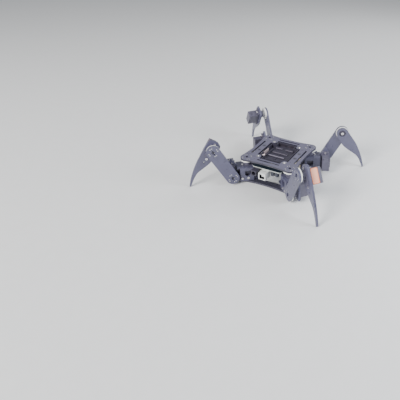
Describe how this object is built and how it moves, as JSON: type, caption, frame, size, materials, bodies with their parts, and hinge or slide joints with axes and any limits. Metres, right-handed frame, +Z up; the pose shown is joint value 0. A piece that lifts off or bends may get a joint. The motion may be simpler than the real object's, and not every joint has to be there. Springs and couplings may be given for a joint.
{
  "type": "four-legged walking robot",
  "caption": "Four-legged walking robot of cut plastic plates, with micro servos at hips, shoulders and knees, claw-shaped feet, an open cell holder and a control board.",
  "frame": {"origin": "middle of the footprint box, on the floor under the feet", "axes": "+Z up; the front edge with the USB socket faces -Y; +X to the right seen from behind"},
  "size_m": [0.2308, 0.2012, 0.0791],
  "materials": {
    "acrylic": "polished sheet, laser-cut edges",
    "horn_plastic": "moulded",
    "servo_case": "fine moulded texture",
    "steel": "nickel-plated",
    "black_screws": "black oxide",
    "brass": "turned",
    "black_plastic": "moulded",
    "contact_metal": "plated spring strip",
    "board": "solder mask",
    "socket_shell": "plated sheet",
    "capacitor_sleeve": "sleeved can"
  },
  "bodies": {
    "chassis": {"top_plate": "acrylic", "bottom_plate": "acrylic", "hip_horns": "horn_plastic", "body_standoffs": "brass", "standoff_screws": "black_screws", "holder_screws": "steel", "battery_holder": "black_plastic", "battery_contacts": "contact_metal", "control_board": "board", "usb_socket": "socket_shell", "power_jack": "black_plastic", "board_capacitors": "capacitor_sleeve", "board_headers": "black_plastic"},
    "fl_coxa": {"fl_coxa_bracket": "acrylic", "fl_hip_servo": "servo_case", "fl_shoulder_servo": "servo_case", "fl_coxa_screws": "steel"},
    "fl_femur": {"fl_femur_plate": "acrylic", "fl_shoulder_horn": "horn_plastic", "fl_knee_horn": "horn_plastic", "fl_femur_screws": "steel"},
    "fl_tibia": {"fl_tibia_plate": "acrylic", "fl_knee_servo": "servo_case", "fl_tibia_screws": "steel"},
    "fr_coxa": {"fr_coxa_bracket": "acrylic", "fr_hip_servo": "servo_case", "fr_shoulder_servo": "servo_case", "fr_coxa_screws": "steel"},
    "fr_femur": {"fr_femur_plate": "acrylic", "fr_shoulder_horn": "horn_plastic", "fr_knee_horn": "horn_plastic", "fr_femur_screws": "steel"},
    "fr_tibia": {"fr_tibia_plate": "acrylic", "fr_knee_servo": "servo_case", "fr_tibia_screws": "steel"},
    "rr_coxa": {"rr_coxa_bracket": "acrylic", "rr_hip_servo": "servo_case", "rr_shoulder_servo": "servo_case", "rr_coxa_screws": "steel"},
    "rr_femur": {"rr_femur_plate": "acrylic", "rr_shoulder_horn": "horn_plastic", "rr_femur_screws": "steel"},
    "rr_tibia": {"rr_knee_horn": "horn_plastic", "rr_tibia_plate": "acrylic", "rr_knee_washer": "black_plastic", "rr_tibia_screws": "steel"},
    "rl_coxa": {"rl_coxa_bracket": "acrylic", "rl_hip_servo": "servo_case", "rl_shoulder_servo": "servo_case", "rl_coxa_screws": "steel"},
    "rl_femur": {"rl_femur_plate": "acrylic", "rl_shoulder_horn": "horn_plastic", "rl_knee_horn": "horn_plastic", "rl_femur_screws": "steel"},
    "rl_tibia": {"rl_tibia_plate": "acrylic", "rl_knee_servo": "servo_case", "rl_tibia_screws": "steel"}
  },
  "joints": [
    {"name": "fl_hip_yaw", "type": "hinge", "parent": "chassis", "child": "fl_coxa", "pos_m": [-0.04175, -0.03677, 0.036], "axis": [0, 0, 1], "range_deg": [-22, 33]},
    {"name": "fl_shoulder", "type": "hinge", "parent": "fl_coxa", "child": "fl_femur", "pos_m": [-0.05705, -0.05862, 0.014], "axis": [0.6691, -0.7431, 0], "range_deg": [-25, 40]},
    {"name": "fl_knee", "type": "hinge", "parent": "fl_femur", "child": "fl_tibia", "pos_m": [-0.07727, -0.07682, 0.06409], "axis": [0.6691, -0.7431, 0], "range_deg": [-50, 25]},
    {"name": "fr_hip_yaw", "type": "hinge", "parent": "chassis", "child": "fr_coxa", "pos_m": [0.03425, -0.03677, 0.036], "axis": [0, 0, -1], "range_deg": [-15, 35]},
    {"name": "fr_shoulder", "type": "hinge", "parent": "fr_coxa", "child": "fr_femur", "pos_m": [0.05031, -0.05808, 0.014], "axis": [0.6428, 0.766, 0], "range_deg": [-25, 40]},
    {"name": "fr_knee", "type": "hinge", "parent": "fr_femur", "child": "fr_tibia", "pos_m": [0.07115, -0.07556, 0.06409], "axis": [0.6428, 0.766, 0], "range_deg": [-50, 25]},
    {"name": "rr_hip_yaw", "type": "hinge", "parent": "chassis", "child": "rr_coxa", "pos_m": [0.03425, 0.03923, 0.036], "axis": [0, 0, 1], "range_deg": [-7, 48]},
    {"name": "rr_shoulder", "type": "hinge", "parent": "rr_coxa", "child": "rr_femur", "pos_m": [0.0547, 0.05638, 0.014], "axis": [-0.454, 0.891, 0], "range_deg": [-25, 40]},
    {"name": "rr_knee", "type": "hinge", "parent": "rr_femur", "child": "rr_tibia", "pos_m": [0.07893, 0.06873, 0.06409], "axis": [-0.454, 0.891, 0], "range_deg": [-50, 25]},
    {"name": "rl_hip_yaw", "type": "hinge", "parent": "chassis", "child": "rl_coxa", "pos_m": [-0.04175, 0.03923, 0.036], "axis": [0, 0, -1], "range_deg": [-20, 35]},
    {"name": "rl_shoulder", "type": "hinge", "parent": "rl_coxa", "child": "rl_femur", "pos_m": [-0.05781, 0.06054, 0.014], "axis": [-0.6428, -0.766, 0], "range_deg": [-25, 40]},
    {"name": "rl_knee", "type": "hinge", "parent": "rl_femur", "child": "rl_tibia", "pos_m": [-0.07864, 0.07802, 0.06409], "axis": [-0.6428, -0.766, 0], "range_deg": [-50, 25]}
  ]
}
